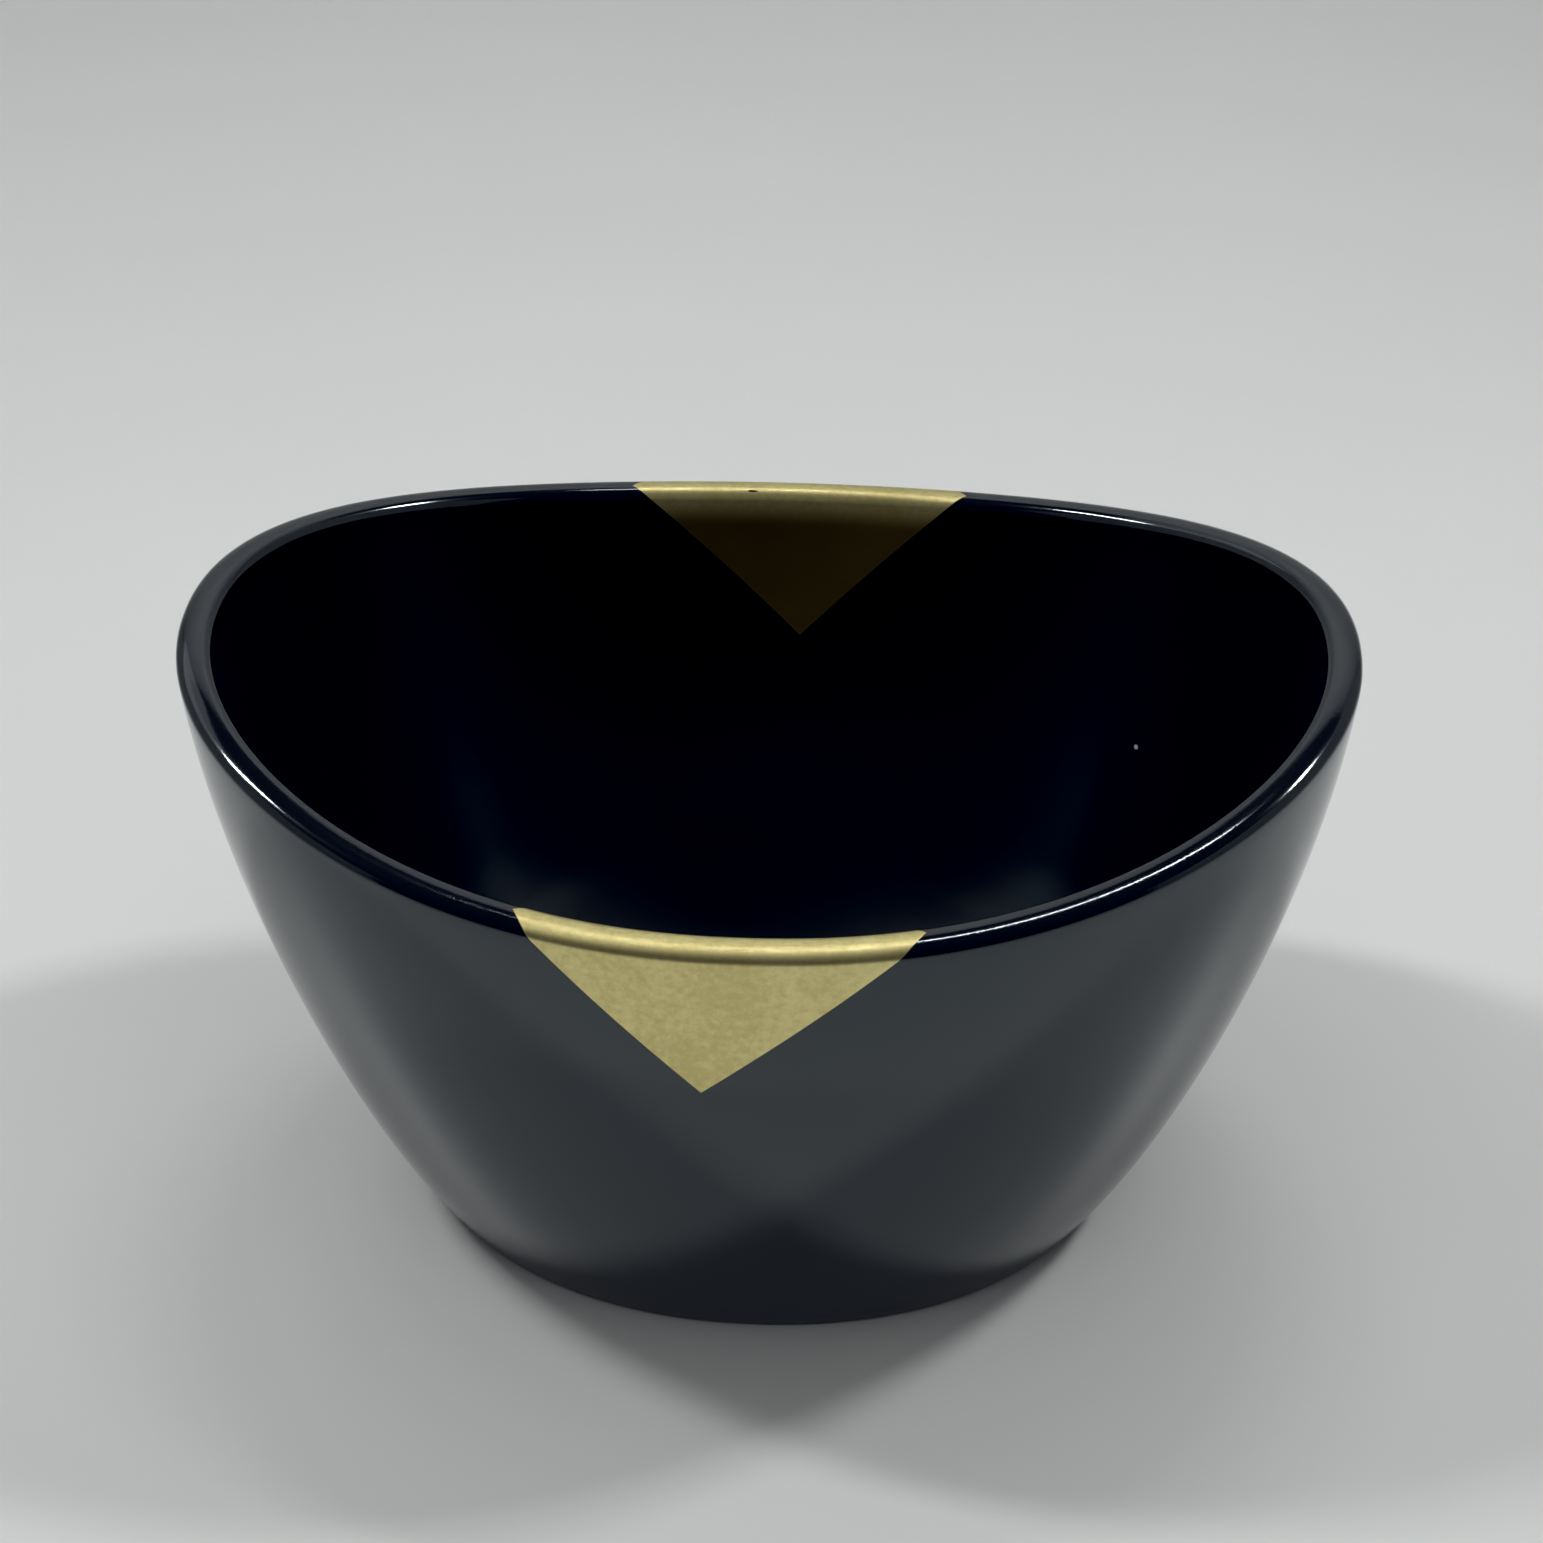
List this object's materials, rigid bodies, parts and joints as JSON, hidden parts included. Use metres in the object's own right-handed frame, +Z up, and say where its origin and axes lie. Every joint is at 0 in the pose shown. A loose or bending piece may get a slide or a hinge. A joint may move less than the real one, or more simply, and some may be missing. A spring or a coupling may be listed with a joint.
{
  "type": "lacquer bowl",
  "caption": "Deep oval bowl whose rim rises to both ends, with a rounded lip and a plain foot. Black lacquer; a gold triangle hangs from the lip on each long side.",
  "frame": {"origin": "middle of the underside, on the surface that the bowl stands on", "axes": "+X along the bowl's long way, +Z up out of the mouth, -Y towards the side that faces the viewer"},
  "size_m": [0.1498, 0.1118, 0.0842],
  "materials": {
    "black_lacquer": "polished black lacquer over wood, satin at a glance, with a satin gold leaf triangle hanging from each long side of the lip"
  },
  "bodies": {
    "root": {"bowl": "black_lacquer"}
  },
  "joints": []
}
